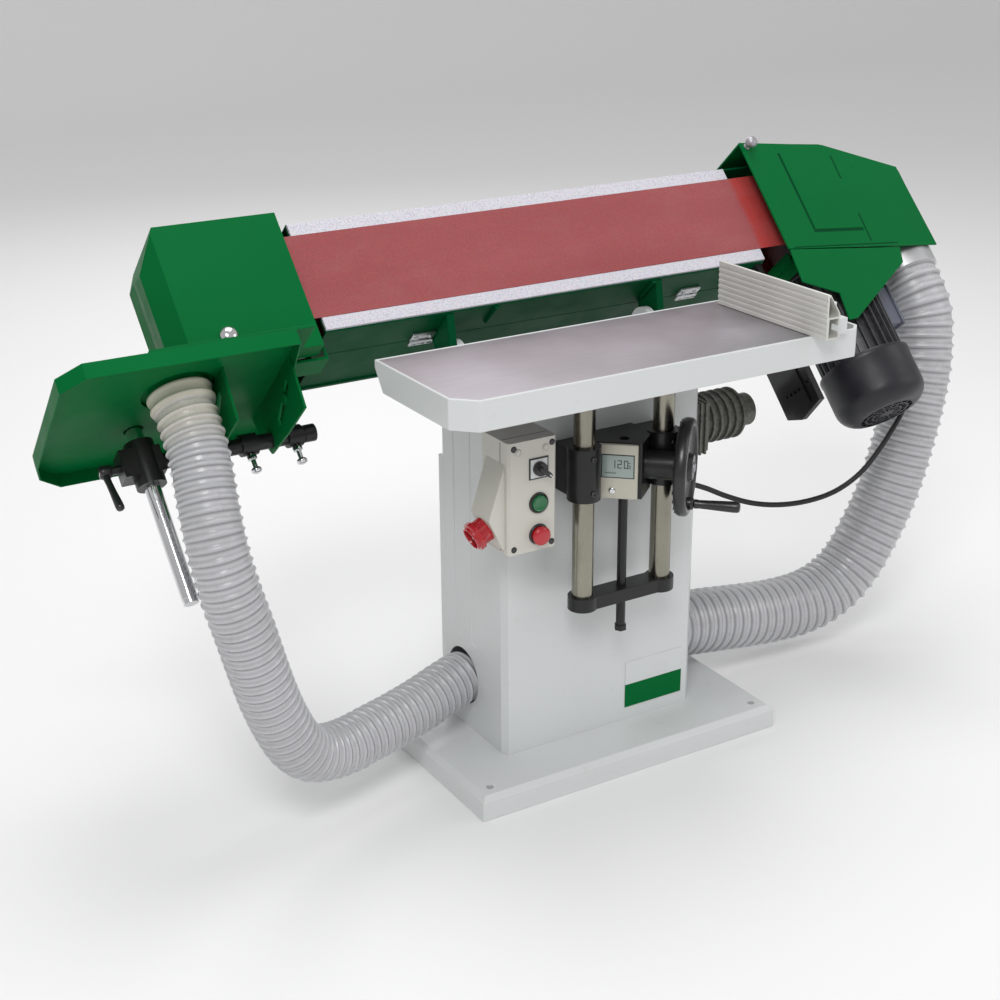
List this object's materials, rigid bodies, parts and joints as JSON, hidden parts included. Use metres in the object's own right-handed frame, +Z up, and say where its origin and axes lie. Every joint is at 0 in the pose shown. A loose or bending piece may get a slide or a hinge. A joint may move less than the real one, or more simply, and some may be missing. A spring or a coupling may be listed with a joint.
{
  "type": "edge belt sander",
  "caption": "Floor-standing long-belt edge sander with a tilting sanding head, hinged hood, lifting table with fence, auxiliary table and dust hoses.",
  "frame": {"origin": "on the floor, under the column", "axes": "+X along the belt towards the motor, +Y to the back, away from the work table, +Z up"},
  "size_m": [1.8, 0.6558, 1.0099],
  "materials": {
    "white_paint": "fine powder coat, light grey-white",
    "green_paint": "glossy machine green enamel",
    "dark_green_paint": "glossy dark green enamel",
    "black_paint": "satin black enamel",
    "black_plastic": "satin moulded",
    "beige_paint": "fine texture, warm grey",
    "machined_steel": "fine ground",
    "bar_steel": "ground and oiled",
    "chrome": "bright",
    "extruded_aluminium": "anodised",
    "cast_grey": "rough casting",
    "motor_grey": "painted casting",
    "belt_abrasive": "coated abrasive grain on cloth",
    "speckled_strip": "speckled laminate",
    "hose_plastic": "ribbed flexible hose",
    "cuff_plastic": "cream moulded",
    "red_plastic": "glossy",
    "green_plastic": "glossy",
    "readout_plastic": "moulded, grey-beige",
    "cable_rubber": "smooth"
  },
  "bodies": {
    "stand": {"base_plate": "white_paint", "column_shell": "white_paint", "rear_panel": "white_paint", "dust_spigot": "extruded_aluminium", "front_plate": "green_paint", "tilt_gearbox": "cast_grey", "control_box": "beige_paint", "box_screws": "black_plastic", "selector_plate": "extruded_aluminium", "inlet_housing": "beige_paint", "power_inlet": "red_plastic", "lift_bracket": "black_paint", "depth_readout": "readout_plastic"},
    "start_button": {"start_button": "green_plastic"},
    "stop_button": {"stop_button": "red_plastic"},
    "selector_knob": {"selector_knob": "black_plastic"},
    "handwheel": {"handwheel": "black_plastic"},
    "crank_handle": {"crank_handle": "black_plastic"},
    "table": {"table_rim": "white_paint", "table_top": "machined_steel", "guide_bars": "bar_steel", "lift_screw": "black_paint", "crossbar": "black_paint"},
    "fence": {"fence": "extruded_aluminium", "fence_clamp": "white_paint"},
    "head": {"head_frame": "dark_green_paint", "cross_ribs": "dark_green_paint", "pivot_arms": "dark_green_paint", "platen": "machined_steel", "edge_strips": "speckled_strip", "sanding_belt": "belt_abrasive", "guard_hinges": "chrome", "tilt_quadrant": "black_paint", "drive_housing": "green_paint", "skirt_plate": "green_paint", "motor_body": "motor_grey", "motor_fan_cover": "black_paint", "terminal_box": "motor_grey", "suction_plate": "green_paint", "support_rod": "chrome", "left_cuff": "cuff_plastic", "right_cuff": "extruded_aluminium", "left_hose": "hose_plastic", "right_hose": "hose_plastic", "motor_cable": "cable_rubber"},
    "guard": {"return_guard": "dark_green_paint"},
    "drive": {"drive_drum": "machined_steel", "motor_fan": "black_plastic"},
    "carriage": {"idler_carriage": "black_paint"},
    "idler": {"idler_drum": "machined_steel"},
    "hood": {"hood": "green_paint", "hood_knob": "machined_steel"},
    "left_cover": {"left_cover": "green_paint"},
    "cover_knob": {"cover_knob": "chrome"},
    "aux_table": {"aux_table": "green_paint", "support_bar": "black_paint", "bar_screws": "chrome", "clamp_block": "black_paint"},
    "clamp_lever": {"clamp_lever": "black_plastic"}
  },
  "joints": [
    {"name": "start_press", "type": "slide", "parent": "stand", "child": "start_button", "axis": [0, 1, 0], "range_m": [0, 0.004], "stiffness_N_per_m": 500, "springref_m": -0.002},
    {"name": "stop_press", "type": "slide", "parent": "stand", "child": "stop_button", "axis": [0, 1, 0], "range_m": [0, 0.004], "stiffness_N_per_m": 500, "springref_m": -0.002},
    {"name": "selector_turn", "type": "hinge", "parent": "stand", "child": "selector_knob", "pos_m": [-0.188, -0.235, 0.598], "axis": [0, 1, 0], "range_deg": [-45, 45]},
    {"name": "handwheel_spin", "type": "hinge", "parent": "stand", "child": "handwheel", "pos_m": [0.072, -0.275, 0.561], "axis": [0.7071, -0.7071, 0], "range_deg": [-2550, 10900]},
    {"name": "crank_spin", "type": "hinge", "parent": "handwheel", "child": "crank_handle", "pos_m": [0.07907, -0.26793, 0.493], "axis": [0.7071, -0.7071, 0], "continuous": true},
    {"name": "table_lift", "type": "slide", "parent": "stand", "child": "table", "axis": [0, 0, 1], "range_m": [-0.035, 0.15]},
    {"name": "fence_swivel", "type": "hinge", "parent": "table", "child": "fence", "pos_m": [0.314, -0.332, 0.769], "axis": [0, 0, 1], "range_deg": [0, 45]},
    {"name": "head_tilt", "type": "hinge", "parent": "stand", "child": "head", "pos_m": [0, 0.008, 0.716], "axis": [1, 0, 0], "range_deg": [-47, 43], "deforming": ["left_hose", "right_hose", "motor_cable"]},
    {"name": "guard_open", "type": "hinge", "parent": "head", "child": "guard", "pos_m": [0, 0.04588, 0.74195], "axis": [-1, 0, 0], "range_deg": [0, 35]},
    {"name": "drive_spin", "type": "hinge", "parent": "head", "child": "drive", "pos_m": [0.616, 0.05873, 0.77303], "axis": [0, 0.682, 0.7314], "continuous": true},
    {"name": "belt_slack", "type": "slide", "parent": "head", "child": "carriage", "axis": [1, 0, 0], "range_m": [0, 0.015]},
    {"name": "idler_spin", "type": "hinge", "parent": "carriage", "child": "idler", "pos_m": [-0.612, 0.04776, 0.78326], "axis": [0, 0.682, 0.7314], "continuous": true},
    {"name": "hood_open", "type": "hinge", "parent": "head", "child": "hood", "pos_m": [0.479, -0.04374, 0.8262], "axis": [0.9859, 0.1226, -0.1143], "range_deg": [0, 100]},
    {"name": "cover_lift", "type": "slide", "parent": "head", "child": "left_cover", "axis": [0, -0.7314, 0.682], "range_m": [0, 0.15]},
    {"name": "cover_knob_turn", "type": "hinge", "parent": "left_cover", "child": "cover_knob", "pos_m": [-0.602, -0.00989, 0.82335], "axis": [0, -0.7314, 0.682], "range_deg": [0, 360]},
    {"name": "aux_slide", "type": "slide", "parent": "head", "child": "aux_table", "axis": [0, 0.682, 0.7314], "range_m": [-0.12, 0]},
    {"name": "lever_turn", "type": "hinge", "parent": "aux_table", "child": "clamp_lever", "pos_m": [-0.778, 0.03325, 0.62724], "axis": [1, 0, 0], "range_deg": [-40, 60]}
  ],
  "couplings": [
    {"joint": "handwheel_spin", "follows": "table_lift", "rad_per_m": 1256.6},
    {"joint": "idler_spin", "follows": "drive_spin", "ratio": 1.25}
  ]
}
